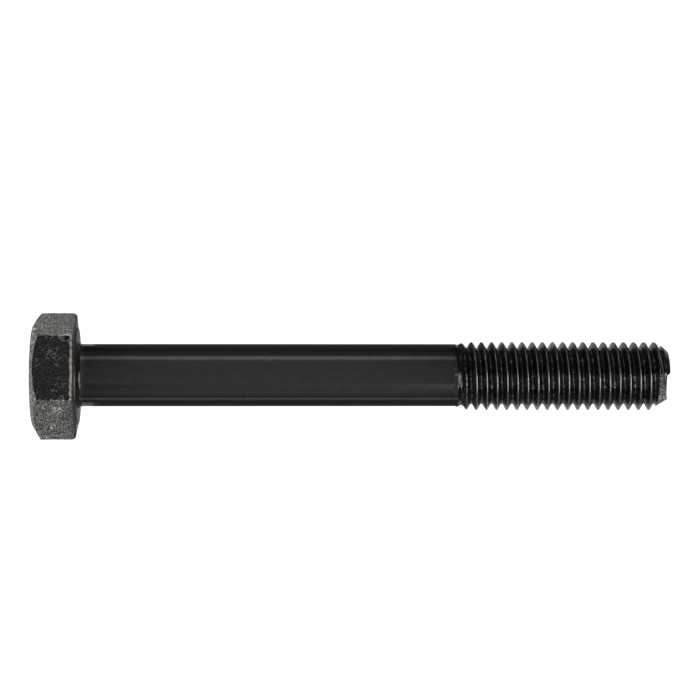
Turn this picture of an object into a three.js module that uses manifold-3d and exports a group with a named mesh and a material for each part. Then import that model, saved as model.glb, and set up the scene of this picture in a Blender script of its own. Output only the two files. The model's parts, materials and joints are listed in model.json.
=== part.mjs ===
// Hex bolt, M12 x 1.75, about 100 mm under the head, partly threaded, wrench size 19 mm.
// One forged and thread-rolled piece of blackened steel, so the group holds one mesh.
// Millimetres. +X runs along the bolt's axis from the head to the thread's end, and the origin is
// the centre of the head's flat top. Two of the six wrench flats face +Z and -Z.

import * as THREE from 'three';
import { mergeVertices } from 'three/addons/utils/BufferGeometryUtils.js';
import Module from 'manifold-3d';

// Head
const HEAD_HEIGHT = 7.75;            // flat top to bearing face
const ACROSS_FLATS = 19;
const CORNER_RADIUS = 0.2;           // rounding of the six edges between the wrench flats
const TOP_CIRCLE_RADIUS = 8.5;       // flat circle inside the top chamfer
const TOP_CHAMFER = 30;              // degrees, measured from the flat top
const UNDERSIDE_RADIUS = 1.2;        // rounding of the hexagon's corners towards the bearing side
const WASHER_FACE_RADIUS = 8.45;     // round bearing face under the hexagon
const WASHER_FACE_HEIGHT = 0.25;

// Shank
const BOLT_LENGTH = 101;             // bearing face to thread end
const SHANK_RADIUS = 5.33;           // plain shank, the blank that the thread is rolled on
const SHANK_OFFSET = 0.17;           // plain shank's axis, off the head's and the thread's towards +Y
const FILLET_RADIUS = 0.8;           // between the bearing face and the shank

// Thread: right-hand, 60 degree flanks
const PITCH = 1.75;
const CREST_RADIUS = 5.88;
const THREAD_DEPTH = 0.6134 * PITCH;
const CREST_WIDTH = PITCH / 8;
const FLANK_ANGLE = 30;              // degrees from a plane across the axis
const THREAD_LENGTH = 36.6;
const RUNOUT_LENGTH = 2.5;           // over which the thread grows out of the shank
const CREST_FROM_END = 2.3;          // a crest crosses the +Y side at this distance from the end
const END_RADIUS = 4.25;             // flat end inside the point's cone
const END_CONE_LENGTH = 2.6;

// Marks on the flat top: two lozenges above three dots, pressed in
const MARK_DEPTH = 0.25;
const LOZENGE_HALF = 1.1;
const LOZENGE_AT = [[2.9, -2.8], [2.9, 2.8]];
const DOT_RADIUS = 0.75;
const DOT_AT = [[-3.3, -3.6], [-3.3, 0], [-3.3, 3.6]];

// Facets
const AROUND = 48;                   // sides of every round surface
const THREAD_AROUND = 36;            // steps per turn of the thread
const ARC_STEPS = 4;                 // steps in a small rounding
const OVERSHOOT = 1;                 // how far a cutting or joining solid runs past the surface

const FULL_TURN = 2 * Math.PI;
const radians = THREE.MathUtils.degToRad;
const bearingX = HEAD_HEIGHT;
const endX = bearingX + BOLT_LENGTH;
const threadStartX = endX - THREAD_LENGTH;
const hexUndersideX = bearingX - WASHER_FACE_HEIGHT;
const sharpCornerRadius = ACROSS_FLATS / 2 / Math.cos(Math.PI / 6);
const cornerReach = sharpCornerRadius - CORNER_RADIUS * (1 / Math.cos(Math.PI / 6) - 1);

const wasm = await Module();
wasm.setup();

// A closed geometry as a solid that can be joined and cut.
function solidOf(geometry) {
  const bare = geometry.clone();
  bare.deleteAttribute('normal');
  bare.deleteAttribute('uv');
  const merged = mergeVertices(bare, 1e-5);
  return new wasm.Manifold(new wasm.Mesh({
    numProp: 3,
    vertProperties: new Float32Array(merged.attributes.position.array),
    triVerts: new Uint32Array(merged.index.array),
  }));
}

// A solid's surface as a geometry.
function geometryOf(solid) {
  const mesh = solid.getMesh();
  const geometry = new THREE.BufferGeometry();
  geometry.setAttribute('position', new THREE.BufferAttribute(mesh.vertProperties, 3));
  geometry.setIndex(new THREE.BufferAttribute(mesh.triVerts, 1));
  geometry.computeVertexNormals();
  return geometry;
}

// A solid of revolution about +X from [x, radius] pairs; the first and last lie on the axis.
function turned(profile, around = AROUND) {
  const points = profile.map(([x, radius]) => new THREE.Vector2(radius, x));
  const geometry = new THREE.LatheGeometry(points, around);
  geometry.rotateZ(-Math.PI / 2);
  return solidOf(geometry);
}

// A flat shape pushed along +X from x. The shape's first axis becomes -Z and its second +Y.
function pushed(shape, x, length) {
  const options = { depth: length, bevelEnabled: false, curveSegments: ARC_STEPS };
  const geometry = new THREE.ExtrudeGeometry(shape, options);
  geometry.rotateY(Math.PI / 2);
  geometry.translate(x, 0, 0);
  return solidOf(geometry);
}

// Points of an arc about (centreX, centreRadius), from one angle to another in degrees.
function arc(centreX, centreRadius, radius, fromDegrees, toDegrees) {
  const points = [];
  for (let step = 0; step <= ARC_STEPS; step += 1) {
    const angle = radians(fromDegrees + (toDegrees - fromDegrees) * step / ARC_STEPS);
    points.push([centreX + radius * Math.cos(angle), centreRadius + radius * Math.sin(angle)]);
  }
  return points;
}

// Hexagon with rounded corners. Its flats cross the shape's first axis, which becomes Z.
function hexagonShape() {
  const shape = new THREE.Shape();
  const arcCentre = sharpCornerRadius - CORNER_RADIUS / Math.cos(Math.PI / 6);
  const halfArc = Math.PI / 6;
  for (let corner = 0; corner < 6; corner += 1) {
    const angle = Math.PI / 6 + corner * Math.PI / 3;
    const x = arcCentre * Math.cos(angle);
    const y = arcCentre * Math.sin(angle);
    shape.absarc(x, y, CORNER_RADIUS, angle - halfArc, angle + halfArc, false);
  }
  shape.closePath();
  return shape;
}

// Lozenges and dots, pressed into the flat top.
function markTools() {
  const lozenge = (y, z) => {
    const shape = new THREE.Shape();
    shape.moveTo(-z + LOZENGE_HALF, y);
    shape.lineTo(-z, y + LOZENGE_HALF);
    shape.lineTo(-z - LOZENGE_HALF, y);
    shape.lineTo(-z, y - LOZENGE_HALF);
    shape.closePath();
    return shape;
  };
  const dot = (y, z) => new THREE.Shape().absarc(-z, y, DOT_RADIUS, 0, FULL_TURN, false);
  const shapes = [
    ...LOZENGE_AT.map(([y, z]) => lozenge(y, z)),
    ...DOT_AT.map(([y, z]) => dot(y, z)),
  ];
  return shapes.map((shape) => pushed(shape, -OVERSHOOT, OVERSHOOT + MARK_DEPTH));
}

// Hexagon trimmed by the cone of the top chamfer and rounded at its corners underneath.
function hexHead() {
  const chamferRadius = cornerReach + OVERSHOOT;
  const chamferX = (chamferRadius - TOP_CIRCLE_RADIUS) * Math.tan(radians(TOP_CHAMFER));
  const roundingX = hexUndersideX - UNDERSIDE_RADIUS;
  const envelope = turned([
    [0, 0],
    [0, TOP_CIRCLE_RADIUS],
    [chamferX, chamferRadius],
    [roundingX, chamferRadius],
    ...arc(roundingX, cornerReach - UNDERSIDE_RADIUS, UNDERSIDE_RADIUS, 90, 0),
    [hexUndersideX, 0],
  ]);
  return pushed(hexagonShape(), 0, hexUndersideX).intersect(envelope);
}

// Round bearing face under the hexagon.
function washerFace() {
  return turned([
    [hexUndersideX - OVERSHOOT, 0],
    [hexUndersideX - OVERSHOOT, WASHER_FACE_RADIUS],
    [bearingX - WASHER_FACE_HEIGHT / 4, WASHER_FACE_RADIUS],
    [bearingX, WASHER_FACE_RADIUS - WASHER_FACE_HEIGHT / 2],
    [bearingX, 0],
  ]);
}

// Plain shank with its fillet, up to just inside the thread.
function shank() {
  const solid = turned([
    [bearingX - OVERSHOOT, 0],
    [bearingX - OVERSHOOT, SHANK_RADIUS + FILLET_RADIUS],
    ...arc(bearingX + FILLET_RADIUS, SHANK_RADIUS + FILLET_RADIUS, FILLET_RADIUS, 180, 270),
    [threadStartX + OVERSHOOT / 4, SHANK_RADIUS],
    [threadStartX + OVERSHOOT / 4, 0],
  ]);
  return solid.translate([0, SHANK_OFFSET, 0]);
}

// Depth below the crest at a phase, 0 to 1, along one pitch that starts in the middle of a crest.
const flankWidth = THREAD_DEPTH * Math.tan(radians(FLANK_ANGLE));
const profile = [
  [0, 0],
  [CREST_WIDTH / 2 / PITCH, 0],
  [(CREST_WIDTH / 2 + flankWidth) / PITCH, THREAD_DEPTH],
  [1 - (CREST_WIDTH / 2 + flankWidth) / PITCH, THREAD_DEPTH],
  [1 - CREST_WIDTH / 2 / PITCH, 0],
  [1, 0],
];

function depthAt(phase) {
  const wrapped = phase - Math.floor(phase);
  const next = Math.max(1, profile.findIndex(([at]) => at >= wrapped));
  const [fromPhase, fromDepth] = profile[next - 1];
  const [toPhase, toDepth] = profile[next];
  return fromDepth + (toDepth - fromDepth) * (wrapped - fromPhase) / (toPhase - fromPhase);
}

// Centre offset and radius of the threaded length at x, for a thread of the given depth there.
function threadPoint(x, angle, depth) {
  const grown = THREE.MathUtils.smoothstep(x, threadStartX, threadStartX + RUNOUT_LENGTH);
  const radius = THREE.MathUtils.lerp(SHANK_RADIUS, CREST_RADIUS - depth, grown);
  const offset = SHANK_OFFSET * (1 - grown);
  return [x, offset + radius * Math.cos(angle), radius * Math.sin(angle)];
}

// Threaded length as one helical skin with flat ends. Column by column round the axis, the same
// profile corners run along the bolt, a little further on each time, so that after a full turn
// they meet the next pitch. Corners past an end are drawn back to it.
function threadedLength() {
  const corners = profile.slice(1, 5);
  const crestX = endX - CREST_FROM_END;
  const turnsBefore = Math.ceil((crestX - threadStartX) / PITCH) + 1;
  const turnsAfter = Math.ceil(CREST_FROM_END / PITCH) + 1;
  const rows = [];
  for (let turn = -turnsBefore; turn <= turnsAfter; turn += 1) {
    corners.forEach(([phase, depth]) => rows.push({ along: turn + phase, depth }));
  }
  const vertices = [];
  const faces = [];
  const index = (column, row) => column * rows.length + row;
  for (let column = 0; column <= THREAD_AROUND; column += 1) {
    const angle = column / THREAD_AROUND * FULL_TURN;
    for (const { along, depth } of rows) {
      const x = crestX + (along + column / THREAD_AROUND) * PITCH;
      const held = THREE.MathUtils.clamp(x, threadStartX, endX);
      const heldDepth = held === x ? depth : depthAt((held - crestX) / PITCH - column / THREAD_AROUND);
      vertices.push(...threadPoint(held, angle, heldDepth));
    }
  }
  for (let column = 0; column < THREAD_AROUND; column += 1) {
    for (let row = 0; row < rows.length - 1; row += 1) {
      const a = index(column, row);
      const b = index(column + 1, row);
      faces.push([a, b, b + 1], [a, b + 1, a + 1]);
    }
    const last = rows.length - 1;
    faces.push([index(column + 1, 0), index(column, 0), vertices.length / 3]);
    faces.push([index(column, last), index(column + 1, last), vertices.length / 3 + 1]);
  }
  vertices.push(threadStartX, SHANK_OFFSET, 0, endX, 0, 0);
  const geometry = new THREE.BufferGeometry();
  geometry.setAttribute('position', new THREE.Float32BufferAttribute(vertices, 3));
  geometry.setIndex(faces.flat());
  const merged = mergeVertices(geometry, 1e-4);
  const kept = [];
  for (let at = 0; at < merged.index.count; at += 3) {
    const [a, b, c] = merged.index.array.slice(at, at + 3);
    if (a !== b && b !== c && c !== a) kept.push(a, b, c);
  }
  merged.setIndex(kept);
  return solidOf(merged);
}

// Cone that points the thread's end.
function pointEnvelope() {
  const slope = (CREST_RADIUS - END_RADIUS) / END_CONE_LENGTH;
  const wideX = endX - END_CONE_LENGTH - OVERSHOOT / slope;
  const wideRadius = CREST_RADIUS + OVERSHOOT;
  return turned([
    [threadStartX - OVERSHOOT, 0],
    [threadStartX - OVERSHOOT, wideRadius],
    [wideX, wideRadius],
    [endX, END_RADIUS],
    [endX, 0],
  ]);
}

function boltSolid() {
  const thread = threadedLength().intersect(pointEnvelope());
  const joined = hexHead().add(washerFace()).add(shank()).add(thread);
  return markTools().reduce((solid, tool) => solid.subtract(tool), joined);
}

const blackenedSteel = new THREE.MeshStandardMaterial({
  color: new THREE.Color(0.035, 0.035, 0.034),
  roughness: 0.38,
  metalness: 0.85,
});

const bolt = new THREE.Mesh(geometryOf(boltSolid()), blackenedSteel);
bolt.name = 'bolt';

const hexBolt = new THREE.Group();
hexBolt.add(bolt);

export default hexBolt;
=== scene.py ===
"""Looks of the hex bolt: one continuous steel surface with its black finish, a studio and a camera.

The surface is a grid wrapped round the bolt's axis. Each column is one angle about +X, and each row
is one place along the outline, from the middle of the head's flat top to the middle of the thread's end.
"""

import json
import math

import bmesh
import bpy
import numpy as np
from mathutils import Matrix, Vector, noise


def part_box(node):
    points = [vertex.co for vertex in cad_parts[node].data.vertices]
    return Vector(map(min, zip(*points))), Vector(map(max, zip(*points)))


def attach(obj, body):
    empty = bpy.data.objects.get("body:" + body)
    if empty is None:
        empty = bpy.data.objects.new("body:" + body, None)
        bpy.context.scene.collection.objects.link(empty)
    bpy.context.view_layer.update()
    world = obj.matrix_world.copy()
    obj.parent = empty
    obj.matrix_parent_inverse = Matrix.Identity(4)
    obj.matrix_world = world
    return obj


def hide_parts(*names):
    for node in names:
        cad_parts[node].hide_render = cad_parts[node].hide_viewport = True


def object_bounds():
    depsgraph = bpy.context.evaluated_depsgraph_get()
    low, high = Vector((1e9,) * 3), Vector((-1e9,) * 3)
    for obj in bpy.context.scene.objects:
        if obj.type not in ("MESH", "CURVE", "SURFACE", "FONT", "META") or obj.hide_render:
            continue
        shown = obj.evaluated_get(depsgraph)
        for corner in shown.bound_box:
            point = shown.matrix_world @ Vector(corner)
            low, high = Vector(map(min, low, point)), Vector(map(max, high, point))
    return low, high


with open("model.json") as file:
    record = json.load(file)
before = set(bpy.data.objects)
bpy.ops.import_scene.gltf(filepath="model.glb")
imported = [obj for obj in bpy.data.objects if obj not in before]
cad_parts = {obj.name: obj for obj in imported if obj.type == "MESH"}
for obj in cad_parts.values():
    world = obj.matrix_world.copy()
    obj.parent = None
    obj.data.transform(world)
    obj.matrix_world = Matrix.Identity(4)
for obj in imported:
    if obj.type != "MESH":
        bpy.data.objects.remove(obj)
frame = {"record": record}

MM = 0.001
CAD_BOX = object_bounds()
LOW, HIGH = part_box("bolt")
MOUNTS = {mount["name"]: Vector(mount["pos_m"]) for mount in frame["record"]["mounts"]}

# Head
APOTHEM = MOUNTS["wrench_flat_upper"].z
CORNER_RADIUS = 0.2 * MM
TOP_CIRCLE_RADIUS = 8.5 * MM
TOP_CHAMFER = math.radians(30)
BEARING_X = MOUNTS["bearing_face"].x
WASHER_FACE_HEIGHT = 0.25 * MM
WASHER_FACE_RADIUS = 8.45 * MM
UNDERSIDE_X = BEARING_X - WASHER_FACE_HEIGHT
ROLL_AT_FLATS = 0.8 * MM          # rounding of the hexagon's lower edge, in the middle of a flat
ROLL_AT_CORNERS = 0.85 * MM
SHARP_CORNER = APOTHEM / math.cos(math.pi / 6)
CORNER_ANGLE = math.atan2(CORNER_RADIUS / 2, SHARP_CORNER - CORNER_RADIUS / 4)

# Marks pressed into the head's top
MARK_DEPTH = 0.25 * MM
MARK_EDGE = 0.4 * MM
LOZENGE_HALF = 1.1 * MM
DOT_RADIUS = 0.75 * MM
LOZENGES = [(2.9 * MM, side * 2.8 * MM) for side in (-1, 1)]
DOTS = [(-3.3 * MM, side * 3.6 * MM) for side in (-1, 0, 1)]

# Shank
SHANK_RADIUS = 5.33 * MM
SHANK_OFFSET = 0.17 * MM          # towards +Y, off the thread's axis
FILLET = 0.9 * MM

# Thread, right-hand
END_X = HIGH.x
PITCH = 1.75 * MM
CREST_RADIUS = 5.88 * MM
THREAD_DEPTH = 0.6134 * PITCH
CREST_WIDTH = PITCH / 8
FLANK_WIDTH = THREAD_DEPTH * math.tan(math.pi / 6)
CORNER_EASE = 0.04                # of a pitch, at the thread's crests and roots
THREAD_START_X = END_X - 36.6 * MM
RUNOUT = 2.4 * MM
CREST_X = END_X - 2.3 * MM        # where a crest crosses the +Y side

# End: its cone is steeper on one side. Its rim is broken off over a quarter of a turn, and the cone is
# freshly broken from there on, round to +Y
STEEP_SIDE = math.radians(8)
STEEP_RADIUS, STEEP_SLOPE = 4.35 * MM, 0.88
SHALLOW_RADIUS, SHALLOW_SLOPE = 4.1 * MM, 0.57
BROKEN_DEPTH = 0.62 * MM
BROKEN_FROM, BROKEN_TO = math.radians(95), math.radians(190)
BREAK_STEP, BREAK_FADE = 0.16, 1.2     # radians over which the break starts and dies out
END_HOLLOW = 0.25 * MM

# Wear and unevenness
HEAD_DENTS = 0.03 * MM
THREAD_DENTS = 0.012 * MM
BREAK_DENTS = 0.12 * MM
END_DENTS = 0.05 * MM
WORN_CREST = (0.06 * MM, 0.17 * MM)     # from its middle: bare up to the first, coated from the second
WORN_ROOT = 0.42

# Scratched places on the head: x, degrees from +Y towards +Z, and how far they reach
KNOCKS = (
    (3.8 * MM, 77, 1.9 * MM),         # the flat towards +Z
    (5.5 * MM, 106, 1.5 * MM),
    (5.6 * MM, 119, 1.0 * MM),        # its corner towards -Y
    (4.7 * MM, 134, 1.5 * MM),        # the flat beyond that corner
    (3.3 * MM, 161, 1.0 * MM),
)
# Oval places that have been hit: x, degrees, half the length, half the width
GOUGE = (6.15 * MM, 61.5, 0.8 * MM, 0.45 * MM)
GOUGE_DEPTH = 0.45 * MM
NICK = (71.95 * MM, 97, 0.3 * MM, 0.28 * MM)

# Grid
CORNER_COLUMNS = 8                # across each of the hexagon's rounded corners
FLAT_COLUMNS = 34                 # across each flat
EASED_ROWS = 8                    # across each eased edge
ROWS_PER_PITCH = 24
END_ROWS = 20
FULL_TURN = 2 * math.pi

# Colours
DRY_PIT = (0.004, 0.004, 0.004, 1)
DRY_PALE = (0.31, 0.304, 0.286, 1)
DRY_FRESH = (0.5, 0.48, 0.49, 1)
DRY_PATCH = (0.06, 0.058, 0.055, 1)
SHANK_DARK = (0.09, 0.09, 0.09, 1)
SHANK_LIGHT = (0.115, 0.115, 0.115, 1)
THREAD_DARK = (0.05, 0.05, 0.049, 1)
THREAD_LIGHT = (0.16, 0.16, 0.16, 1)
BARE_THREAD = (0.5, 0.49, 0.5, 1)
BARE_HEAD = (0.98, 0.79, 0.71, 1)       # pinkish, as the photo's worn edge is
SCRATCH = (0.9, 0.9, 0.87, 1)

# Studio
GROUND_GLOW = 1.2
ROOM_GLOW = 0.04


def smooth(low, high, value):
    """0 up to low, 1 from high, and an S-curve between."""
    t = np.clip((value - low) / (high - low), 0, 1)
    return t * t * (3 - 2 * t)


# ---------------------------------------------------------------- outline

def column_angles():
    """Angles from +Y towards +Z, from 0 to a full turn, closer together at the hexagon's corners."""
    even = np.arange(FLAT_COLUMNS) / FLAT_COLUMNS
    share = (even + (1 - np.cos(math.pi * even)) / 2) / 2
    sector = np.concatenate([
        np.linspace(-CORNER_ANGLE, CORNER_ANGLE, CORNER_COLUMNS, endpoint=False),
        CORNER_ANGLE + (math.pi / 3 - 2 * CORNER_ANGLE) * share,
    ])
    angles = np.concatenate([sector + corner * math.pi / 3 for corner in range(6)])
    return np.append(angles, angles[0] + FULL_TURN)


ANGLES = column_angles()
FROM_CORNER = np.abs((ANGLES + math.pi / 6) % (math.pi / 3) - math.pi / 6)
CORNERNESS = 1 - smooth(0, math.radians(14), FROM_CORNER)
GRIPPED_AND_SHADED = smooth(0.84, 0.89, np.abs(np.sin(ANGLES)))         # the two flats towards and away from +Z: worn along their lower edge, and given painted shade as a darker, glossier coat
STEEPNESS = (1 + np.cos(ANGLES - STEEP_SIDE)) / 2
BROKEN_SIDE = smooth(BROKEN_FROM - BREAK_STEP / 2, BROKEN_FROM + BREAK_STEP / 2, ANGLES % FULL_TURN)
BROKEN_OFF = BROKEN_SIDE * (1 - smooth(BROKEN_TO - BREAK_FADE, BROKEN_TO, ANGLES % FULL_TURN))
RIM_X = END_X - BROKEN_DEPTH * BROKEN_OFF


def hexagon_radius():
    """Distance from the axis to the hexagon at each column."""
    flat = APOTHEM / np.cos(math.pi / 6 - FROM_CORNER)
    centre = SHARP_CORNER - CORNER_RADIUS / math.cos(math.pi / 6)
    inside = np.maximum(CORNER_RADIUS ** 2 - (centre * np.sin(FROM_CORNER)) ** 2, 0)
    rounded = centre * np.cos(FROM_CORNER) + np.sqrt(inside)
    return np.where(FROM_CORNER < CORNER_ANGLE, rounded, flat)


def shank_radius():
    """Distance from the thread's axis to the shank, which is a little off it, at each column."""
    across = SHANK_OFFSET * np.sin(ANGLES)
    return SHANK_OFFSET * np.cos(ANGLES) + np.sqrt(SHANK_RADIUS ** 2 - across ** 2)


class Outline:
    """Rows of the grid. At every column, each has its place and what the surface there is like."""

    LOOK = ("wear", "dry", "sheen", "fresh", "dent")

    def __init__(self):
        self.rows = {name: [] for name in ("x", "radius", *self.LOOK)}

    def row(self, x, radius, **look):
        """Adds a row. Its look is any of these, at each column or all round:

        wear: bare steel. dry: rough dry finish. sheen: the shank's smooth finish, not the thread's.
        fresh: newly broken, and lighter. All run from 0 to 1. dent: how deep the surface is uneven.
        """
        values = dict.fromkeys(self.LOOK, 0.0) | {"x": x, "radius": radius} | look
        for name in self.rows:
            self.rows[name].append(np.broadcast_to(np.asarray(values[name], float), ANGLES.shape))

    def path(self, *corners):
        """Straight stretches between corners, which are eased.

        Each corner is a dict: x, radius, cut (how far its easing reaches), count (rows in the stretch
        before it), wear (at its edge), worn_at (where across the edge, from 0 to 1), and dry, sheen
        and dent (from it on).
        """
        for corner in corners:
            corner["place"] = np.stack([np.broadcast_to(corner[k], ANGLES.shape) for k in ("x", "radius")])
        here = corners[0]["place"]
        for before, corner, after in zip(corners, corners[1:], [*corners[2:], None]):
            look = {name: before.get(name, 0.0) for name in ("dry", "sheen", "dent")}
            place = corner["place"]
            enter = towards(place, before["place"], corner["cut"]) if after else place
            for step in range(corner["count"]):
                self.row(*(here + (enter - here) * step / corner["count"]), **look)
            if after is None:
                return
            leave = towards(place, after["place"], corner["cut"])
            for step in range(EASED_ROWS):
                t = step / EASED_ROWS
                eased = (1 - t) ** 2 * enter + 2 * t * (1 - t) * place + t * t * leave
                wear = corner["wear"] * (1 - smooth(0.05, 0.4, abs(t - corner.get("worn_at", 0.5))))
                mixed = {name: look[name] + (corner.get(name, 0.0) - look[name]) * t for name in look}
                self.row(*eased, wear=wear, **mixed)
            here = leave


def towards(point, other, distance):
    """The place at a distance from point on the way to other, column by column."""
    gap = other - point
    share = np.minimum(distance / np.maximum(np.hypot(*gap), 1e-9), 0.5)
    return point + gap * share


def head_and_shank(outline):
    hexagon = hexagon_radius()
    chamfer_x = (hexagon - TOP_CIRCLE_RADIUS) * math.tan(TOP_CHAMFER)
    roll = ROLL_AT_FLATS + (ROLL_AT_CORNERS - ROLL_AT_FLATS) * CORNERNESS
    shank = shank_radius()
    outline.path(
        dict(x=0, radius=0, dry=0.15),
        dict(x=0, radius=TOP_CIRCLE_RADIUS, cut=0.2 * MM, count=70, wear=0.35, dry=1,
             dent=HEAD_DENTS),
        # painted shade from here on: the flats towards and away from +Z get a darker, glossier coat than
        # the other flats
        dict(x=chamfer_x, radius=hexagon, cut=0.12 * MM, count=10, wear=0.25 + 0.3 * CORNERNESS,
             dry=1 - 0.3 * GRIPPED_AND_SHADED, dent=HEAD_DENTS),
        dict(x=UNDERSIDE_X, radius=hexagon, cut=roll, count=30, wear=0.3 + 0.7 * GRIPPED_AND_SHADED, worn_at=0.3,
             dry=0.3, dent=2 * HEAD_DENTS),
        dict(x=UNDERSIDE_X, radius=WASHER_FACE_RADIUS, cut=0.08 * MM, count=6, wear=0, dry=0.2, sheen=1),
        dict(x=BEARING_X, radius=WASHER_FACE_RADIUS - 0.08 * MM, cut=0.1 * MM, count=5, wear=0.75, dry=0.2),
        dict(x=BEARING_X, radius=shank, cut=FILLET, count=12, wear=0, sheen=1),
        dict(x=THREAD_START_X, radius=shank, count=110),
    )


def from_crest(phase):
    """Distance along the axis from the nearest crest, at a phase counted in pitches."""
    return np.abs((phase + 0.5) % 1 - 0.5) * PITCH


def thread_depth(phase):
    """Depth below the crest along one pitch, eased at the crest's and the root's corners."""
    def sharp(at):
        return THREAD_DEPTH * np.clip((from_crest(at) - CREST_WIDTH / 2) / FLANK_WIDTH, 0, 1)

    shifts = np.linspace(-CORNER_EASE, CORNER_EASE, 5)
    return sum(sharp(phase + shift) for shift in shifts) / len(shifts)


def thread(outline):
    """Rows that wind round the bolt, so that after a full turn each meets the one a pitch further on."""
    turns_before = math.ceil((CREST_X - THREAD_START_X) / PITCH) + 1
    turns_after = math.ceil((END_X - CREST_X) / PITCH) + 1
    along_rows = np.arange(-turns_before * ROWS_PER_PITCH, turns_after * ROWS_PER_PITCH + 1)
    turn = ANGLES / FULL_TURN
    for along in along_rows / ROWS_PER_PITCH:
        x = np.clip(CREST_X + (along + turn) * PITCH, THREAD_START_X, RIM_X)
        outline.row(x, **thread_surface(x))


def thread_surface(x):
    """The threaded length at x: its radius at each column, and what it is like."""
    phase = (x - CREST_X) / PITCH - ANGLES / FULL_TURN
    depth = thread_depth(phase)
    grown = np.clip((x - THREAD_START_X) / RUNOUT, 0, 1)
    radius = shank_radius() * (1 - grown) + (CREST_RADIUS - depth) * grown
    rim = SHALLOW_RADIUS + (STEEP_RADIUS - SHALLOW_RADIUS) * STEEPNESS
    slope = SHALLOW_SLOPE + (STEEP_SLOPE - SHALLOW_SLOPE) * STEEPNESS
    cone = rim + (END_X - x) * slope
    coned = smooth(-0.05 * MM, 0.12 * MM, radius - cone)
    share = depth / THREAD_DEPTH
    crest = (1 - smooth(*WORN_CREST, from_crest(phase))) * smooth(0.3, 0.9, grown) * (1 - coned)
    root = WORN_ROOT * smooth(0.8, 0.97, share) * smooth(0.6, 1, grown) * (1 - coned)
    cut_edge = 4 * coned * (1 - coned) * (1 - BROKEN_SIDE)
    return {
        "radius": np.minimum(radius, cone),
        "wear": np.maximum(crest, root) + cut_edge,
        "fresh": coned * BROKEN_SIDE,
        "dry": np.maximum(coned * BROKEN_SIDE, 0.09 * grown),
        "sheen": 1 - smooth(0, 0.3, grown),
        "dent": THREAD_DENTS + coned * BROKEN_SIDE * BREAK_DENTS,
    }


def end_face(outline):
    """The end, a little hollow from the rolling."""
    rim = thread_surface(RIM_X)["radius"]
    for step in range(END_ROWS + 1):
        share = 1 - step / END_ROWS
        hollow = END_HOLLOW * smooth(0, 1, 1 - share)
        x = END_X + (RIM_X - END_X) * share - hollow
        outline.row(x, rim * share, dry=1, wear=0.3 * smooth(0.9, 1, share), dent=END_DENTS * share)


def marks(y, z):
    """The marks on the head's top at each point: 1 inside them and 0 outside."""
    deepest = np.zeros_like(y)
    for centre_y, centre_z in LOZENGES:
        inside = LOZENGE_HALF - np.abs(y - centre_y) - np.abs(z - centre_z)
        deepest = np.maximum(deepest, smooth(0, MARK_EDGE, inside))
    for centre_y, centre_z in DOTS:
        inside = DOT_RADIUS - np.hypot(y - centre_y, z - centre_z)
        deepest = np.maximum(deepest, smooth(0, MARK_EDGE, inside))
    return deepest


# ---------------------------------------------------------------- surface

def build_bolt():
    outline = Outline()
    head_and_shank(outline)
    thread(outline)
    end_face(outline)
    grid = {name: np.array(rows) for name, rows in outline.rows.items()}
    mesh = grid_mesh(cut_relief(grid))
    for name in ("wear", "dry", "sheen", "fresh", "knocked"):
        values = grid[name].astype(np.float32).reshape(-1)
        mesh.attributes.new(name, "FLOAT", "POINT").data.foreach_set("value", values)
    join_seams(mesh)
    mesh.shade_smooth()
    bolt = bpy.data.objects.new("hex_bolt", mesh)
    bpy.context.scene.collection.objects.link(bolt)
    return bolt


def on_surface(x, radius):
    """Points of the grid from their places along the outline."""
    return np.stack([x, radius * np.cos(ANGLES), radius * np.sin(ANGLES)], axis=-1)


def cut_relief(grid):
    """The grid's points, with the gouge, the marks and the unevenness cut in. Updates the grid's look, with
    painted shade in the gouge's pit.
    """
    x, radius = grid["x"], grid["radius"]
    even = on_surface(x, radius)
    gouge = from_middle(x, *GOUGE)
    gouge_pit_and_shade = 1 - smooth(0.5, 1, gouge)
    gouge_rim = smooth(0.8, 1.1, gouge) * (1 - smooth(1.2, 1.6, gouge))
    nick = 1 - smooth(0.7, 1, from_middle(x, *NICK))
    on_head_top = x < 0.01 * MM
    pressed = np.where(on_head_top, marks(even[..., 1], even[..., 2]), 0)
    mark_edges = 4 * pressed * (1 - pressed)

    radius = radius - grid["dent"] * bumpiness(even, 1.6) * smooth(0, 3 * MM, radius) - GOUGE_DEPTH * gouge_pit_and_shade
    x = x + MARK_DEPTH * pressed
    x = x - np.where(x > END_X - 1 * MM, grid["dent"] * bumpiness(even, 2.2), 0)

    # painted shade: the gouge's pit gets a black, glossy coat and no wear
    grid["wear"] = grid["wear"] * (1 - gouge_pit_and_shade)
    grid["dry"] = np.maximum.reduce([grid["dry"] * (1 - gouge_pit_and_shade), nick, 0.4 * mark_edges])
    grid["knocked"] = np.maximum(knocked(x), 3 * np.maximum.reduce([gouge_rim, mark_edges, nick]))
    return on_surface(x, radius)


def grid_mesh(points):
    """A mesh with a face between each two rows and each two columns."""
    rows, columns = points.shape[:2]
    corner = np.arange(rows * columns).reshape(rows, columns)
    faces = np.stack([corner[:-1, :-1], corner[1:, :-1], corner[1:, 1:], corner[:-1, 1:]], axis=-1)
    mesh = bpy.data.meshes.new("bolt_surface")
    mesh.from_pydata(points.reshape(-1, 3).tolist(), [], faces.reshape(-1, 4).tolist())
    return mesh


def from_middle(x, middle_x, degrees, half_length, half_width):
    """0 in the middle of an oval place on the surface, and 1 at its edge."""
    round_by = SHARP_CORNER if middle_x < BEARING_X else CREST_RADIUS
    around = (ANGLES - math.radians(degrees)) * round_by
    return np.hypot((x - middle_x) / half_length, around / half_width)


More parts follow.
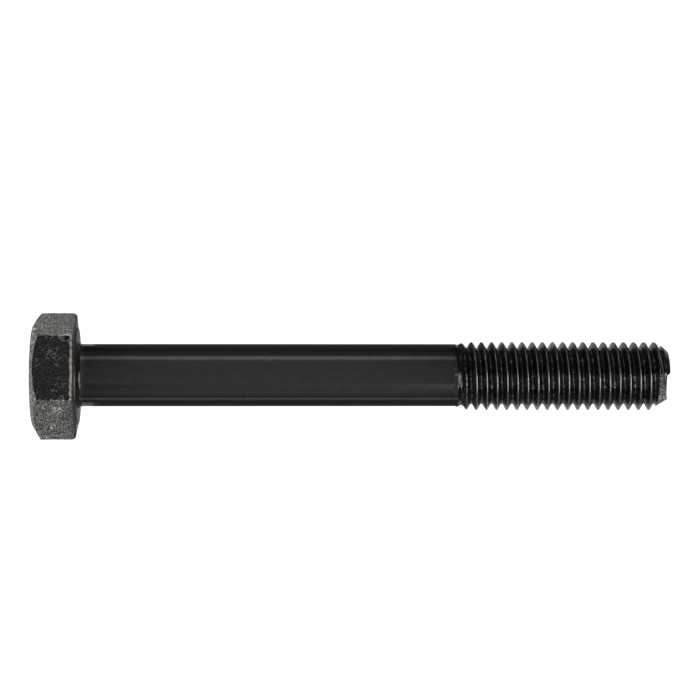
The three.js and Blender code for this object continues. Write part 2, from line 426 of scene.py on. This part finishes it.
def knocked(x):
    """1 in the middle of each knocked place, falling to 0 where it ends."""
    most = np.zeros(x.shape)
    for middle_x, degrees, reach in KNOCKS:
        around = (ANGLES - math.radians(degrees)) * APOTHEM
        most = np.maximum(most, 1 - smooth(0.3 * reach, reach, np.hypot(x - middle_x, around)))
    return most


def bumpiness(points, per_mm):
    """Unevenness from 0 to 1 at each point, with per_mm bumps to a millimetre."""
    places = points.reshape(-1, 3) * (per_mm / MM)
    values = np.array([noise.noise(place) for place in places.tolist()])
    return np.clip(0.5 + values.reshape(points.shape[:-1]), 0, 1)


def join_seams(mesh):
    """Merges the grid's doubled points: its first and last column, its poles and the drawn-back rows."""
    work = bmesh.new()
    work.from_mesh(mesh)
    bmesh.ops.remove_doubles(work, verts=work.verts, dist=1e-3 * MM)
    bmesh.ops.recalc_face_normals(work, faces=work.faces)
    work.to_mesh(mesh)
    work.free()


# ---------------------------------------------------------------- material

class Nodes:
    """Short forms for building a node tree."""

    def __init__(self, tree):
        self.tree = tree

    def node(self, kind, values=(), **settings):
        made = self.tree.nodes.new(kind)
        for name, value in settings.items():
            setattr(made, name, value)
        for key, value in dict(values).items():
            if isinstance(value, bpy.types.NodeSocket):
                self.tree.links.new(value, made.inputs[key])
            else:
                made.inputs[key].default_value = value
        return made

    def attribute(self, name):
        return self.node("ShaderNodeAttribute", attribute_name=name).outputs["Fac"]

    def maths(self, operation, a, b):
        return self.node("ShaderNodeMath", {0: a, 1: b}, operation=operation).outputs[0]

    def remap(self, value, low, high, to_low=0.0, to_high=1.0):
        values = {"Value": value, 1: low, 2: high, 3: to_low, 4: to_high}
        return self.node("ShaderNodeMapRange", values).outputs["Result"]

    def mix(self, share, a, b):
        values = {"Factor": share, 2: a, 3: b}
        return self.node("ShaderNodeMix", values, data_type="FLOAT").outputs[0]

    def mix_colour(self, share, a, b):
        values = {0: share, 6: a, 7: b}
        return self.node("ShaderNodeMix", values, data_type="RGBA").outputs[2]

    def noise(self, place, scale, detail, roughness=0.6):
        values = {"Vector": place, "Scale": scale, "Detail": detail, "Roughness": roughness}
        return self.node("ShaderNodeTexNoise", values).outputs["Fac"]

    def stretched(self, place, turn, stretch):
        """The place turned, then drawn out along its axes, for patterns that run in streaks."""
        values = {"Vector": place, "Rotation": turn, "Scale": stretch}
        return self.node("ShaderNodeMapping", values, vector_type="TEXTURE").outputs[0]


def blackened_steel():
    """Black oxide: smooth and glossy on the shank, dry and gritty on the head, worn off the edges."""
    material = bpy.data.materials.new("blackened_steel")
    material.use_nodes = True
    tree = material.node_tree
    shader = tree.nodes["Principled BSDF"]
    n = Nodes(tree)
    place = n.node("ShaderNodeVectorMath", {
        0: n.node("ShaderNodeTexCoord").outputs["Object"],
        "Scale": 1 / MM,
    }, operation="SCALE").outputs[0]                      # millimetres
    dry = n.attribute("dry")
    wear = n.attribute("wear")
    sheen = n.attribute("sheen")
    fresh = n.attribute("fresh")
    knocked = n.attribute("knocked")

    grit = n.noise(place, 4.1, 2, 0.9)
    patches = n.noise(place, 0.35, 3)
    smudges = n.noise(place, 1.3, 4)
    specks = n.noise(place, 1.9, 1, 0.5)

    easing = n.maths("MULTIPLY", knocked, 0.11)           # lets more of the streaks through
    scratches = 0.0
    for turn, stretch in (
        ((0.0, 0.0, 0.7), (1.4, 0.2, 0.2)),
        ((0.3, 0.0, -0.5), (1.2, 0.2, 0.2)),
        ((0.0, 0.5, 1.9), (1.0, 0.2, 0.2)),
    ):
        streaks = n.maths("ADD", n.noise(n.stretched(place, turn, stretch), 1.0, 0, 0.4), easing)
        scratches = n.maths("MAXIMUM", n.remap(streaks, 0.8, 0.83), scratches)
    scratches = n.maths("MULTIPLY", scratches, dry)

    ragged = n.maths("ADD", wear, n.remap(smudges, 0.3, 0.7, -0.4, 0.4))
    worn = n.remap(ragged, 0.5, 0.85)
    worn = n.maths("MULTIPLY", worn, n.remap(wear, 0.02, 0.2))

    pale = n.mix_colour(fresh, DRY_PALE, DRY_FRESH)
    gritty = n.mix_colour(n.remap(grit, 0.495, 0.58), DRY_PIT, pale)
    gritty = n.mix_colour(n.remap(patches, 0.35, 0.65, 0, 0.2), gritty, DRY_PATCH)
    on_shank = n.mix_colour(n.remap(smudges, 0.3, 0.7), SHANK_DARK, SHANK_LIGHT)
    on_thread = n.mix_colour(n.remap(specks, 0.45, 0.7), THREAD_DARK, THREAD_LIGHT)
    coated = n.mix_colour(dry, n.mix_colour(sheen, on_thread, on_shank), gritty)
    bare = n.mix_colour(n.remap(dry, 0.2, 0.5), BARE_THREAD, BARE_HEAD)
    colour = n.mix_colour(worn, coated, bare)
    colour = n.mix_colour(scratches, colour, SCRATCH)

    metallic = n.mix(worn, n.remap(dry, 0, 1, 1, 0), 1.0)
    roughness = n.mix(dry, 0.2, n.remap(grit, 0.3, 0.7, 0.5, 0.7))
    roughness = n.mix(worn, roughness, 0.3)

    height = n.maths("MULTIPLY", grit, n.remap(dry, 0, 1, 0.05, 1))
    height = n.maths("SUBTRACT", height, n.maths("MULTIPLY", scratches, 0.5))
    bump = n.node("ShaderNodeBump", {"Height": height, "Strength": 1.0, "Distance": 0.03 * MM})

    for socket, value in (
        ("Base Color", colour), ("Metallic", metallic), ("Roughness", roughness),
        ("Normal", bump.outputs["Normal"]),
    ):
        tree.links.new(value, shader.inputs[socket])
    return material


# ---------------------------------------------------------------- studio

def glowing(name, strength):
    material = bpy.data.materials.new(name)
    material.use_nodes = True
    tree = material.node_tree
    tree.nodes.clear()
    n = Nodes(tree)
    glow = n.node("ShaderNodeEmission", {"Color": (1, 1, 1, 1), "Strength": strength})
    out = n.node("ShaderNodeOutputMaterial")
    tree.links.new(glow.outputs[0], out.inputs["Surface"])
    return material


def staged(name, work, strength, location, seen_by):
    """A glowing piece of the studio, seen only by the named kinds of ray."""
    mesh = bpy.data.meshes.new(name)
    work.to_mesh(mesh)
    work.free()
    mesh.materials.append(glowing(name, strength))
    thing = bpy.data.objects.new(name, mesh)
    thing.location = location
    for ray in ("camera", "diffuse", "glossy"):
        setattr(thing, "visible_" + ray, ray in seen_by)
    thing.visible_shadow = "diffuse" in seen_by
    bpy.context.scene.collection.objects.link(thing)


def table_and_backdrop():
    reach = 3.0
    disc = bmesh.new()
    bmesh.ops.create_circle(disc, cap_ends=True, segments=96, radius=reach)
    staged("white_table", disc, GROUND_GLOW, (0, 0, LOW.z), ("camera", "diffuse"))
    wall = bmesh.new()
    bmesh.ops.create_cone(wall, cap_ends=False, segments=96, radius1=reach, radius2=reach, depth=2 * reach)
    staged("white_wall", wall, GROUND_GLOW, (0, 0, LOW.z + reach), ("camera",))


def card(name, x_from, x_to, y_from, y_to, strength, lift=0.0):
    """A white card on the table, seen only as a reflection in the steel."""
    work = bmesh.new()
    bmesh.ops.create_grid(work, x_segments=1, y_segments=1, size=0.5)
    bmesh.ops.scale(work, vec=(x_to - x_from, y_to - y_from, 1), verts=work.verts)
    middle = ((x_from + x_to) / 2, (y_from + y_to) / 2, LOW.z - 0.2 * MM + lift)
    staged(name, work, strength, middle, ("glossy",))


def sky():
    """A dim room."""
    world = bpy.data.worlds.new("room")
    world.use_nodes = True
    bpy.context.scene.world = world
    background = world.node_tree.nodes["Background"]
    background.inputs["Color"].default_value = (1, 1, 1, 1)
    background.inputs["Strength"].default_value = ROOM_GLOW


def softbox(name, azimuth, elevation, distance, width, height, radiance, kind, middle_x=None):
    """An area light aimed at the bolt. Azimuth 0 is at -Y and 90 at +X.

    kind: "fill" only lights dry surfaces, and "sheen" is only seen as a reflection in glossy ones.
    """
    light = bpy.data.lights.new(name, "AREA")
    light.shape = "RECTANGLE"
    light.size, light.size_y = width, height
    light.energy = radiance * math.pi * width * height
    lamp = bpy.data.objects.new(name, light)
    a, e = math.radians(azimuth), math.radians(elevation)
    back = Vector((math.sin(a) * math.cos(e), -math.cos(a) * math.cos(e), math.sin(e)))
    centre = (CAD_BOX[0] + CAD_BOX[1]) / 2
    if middle_x is not None:
        centre.x = middle_x
    lamp.location = centre + back * distance
    lamp.rotation_euler = back.to_track_quat("Z", "Y").to_euler()
    lamp.visible_glossy = kind == "sheen"
    lamp.visible_diffuse = kind == "fill"
    lamp.visible_camera = False
    bpy.context.scene.collection.objects.link(lamp)


def lights():
    for name, azimuth, elevation, width, radiance in (
        ("far_fill", 180, 1.6, 0.8, 32),
        ("near_fill", 0, 1.6, 0.8, 20),
        ("head_fill", 270, 2.5, 0.5, 56),
        ("thread_fill", 90, 3.0, 0.5, 8),
    ):
        softbox(name, azimuth, elevation, 0.6, width, 0.05, radiance, "fill")
    for name, azimuth, elevation, height, radiance in (
        ("shank_overhead", 0, 90, 0.64, 0.25),
        ("shank_front", 0, 16, 0.115, 0.25),
        ("shank_edge", 180, 32, 0.045, 0.8),
        ("shank_back", 180, 12, 0.08, 0.1),
    ):
        softbox(name, azimuth, elevation, 0.2, 0.097, height, radiance, "sheen", 43.5 * MM)
    softbox("thread_key", 0, 39, 0.3, 0.05, 0.09, 6.0, "sheen", 152 * MM)
    softbox("head_edge", 68, 42, 0.6, 0.3, 0.4, 2.2, "sheen", 0)
    softbox("from_the_left", 316, 42, 0.6, 0.3, 0.4, 0.6, "sheen")

    reach = 0.25
    under_head, under_thread = 0.0095, 0.075              # where the cards below meet
    card("card_under_head", -reach, under_head, -0.02, 0.02, 0.45)
    card("card_under_shank", under_head, under_thread, -reach, reach, 0.1)
    card("card_under_thread", under_thread, reach, -0.02, 0.02, 0.5)
    card("card_in_front", 0.005, 0.085, -0.070, -0.034, 0.55, lift=0.1 * MM)


def camera():
    """Nearly overhead, opposite the head's end of the shank, with the far side of the bolt up."""
    distance = 428 * MM
    stands_over = Vector((37.4 * MM, 0, 0))
    aims_at = Vector((54.15 * MM, 0, 0))
    aims_above_by = 4.48 * MM         # in the picture
    tilt = math.radians(8.5)
    back = Vector((0, -math.sin(tilt), math.cos(tilt)))
    picture_up = Vector((0, math.cos(tilt), math.sin(tilt)))
    place = stands_over + back * distance
    forward = (aims_at + picture_up * aims_above_by - place).normalized()
    right = forward.cross(picture_up).normalized()
    up = right.cross(forward)
    data = bpy.data.cameras.new("camera")
    data.lens = 128.42
    data.sensor_width = 36
    data.clip_start, data.clip_end = 0.01, 20
    made = bpy.data.objects.new("camera", data)
    made.location = place
    made.rotation_euler = Matrix((right, up, -forward)).transposed().to_euler()
    bpy.context.scene.collection.objects.link(made)
    bpy.context.scene.camera = made


bolt = build_bolt()
bolt.data.materials.append(blackened_steel())
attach(bolt, "root")
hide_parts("bolt")

table_and_backdrop()
sky()
lights()
camera()
bpy.context.scene.view_settings.view_transform = "Standard"
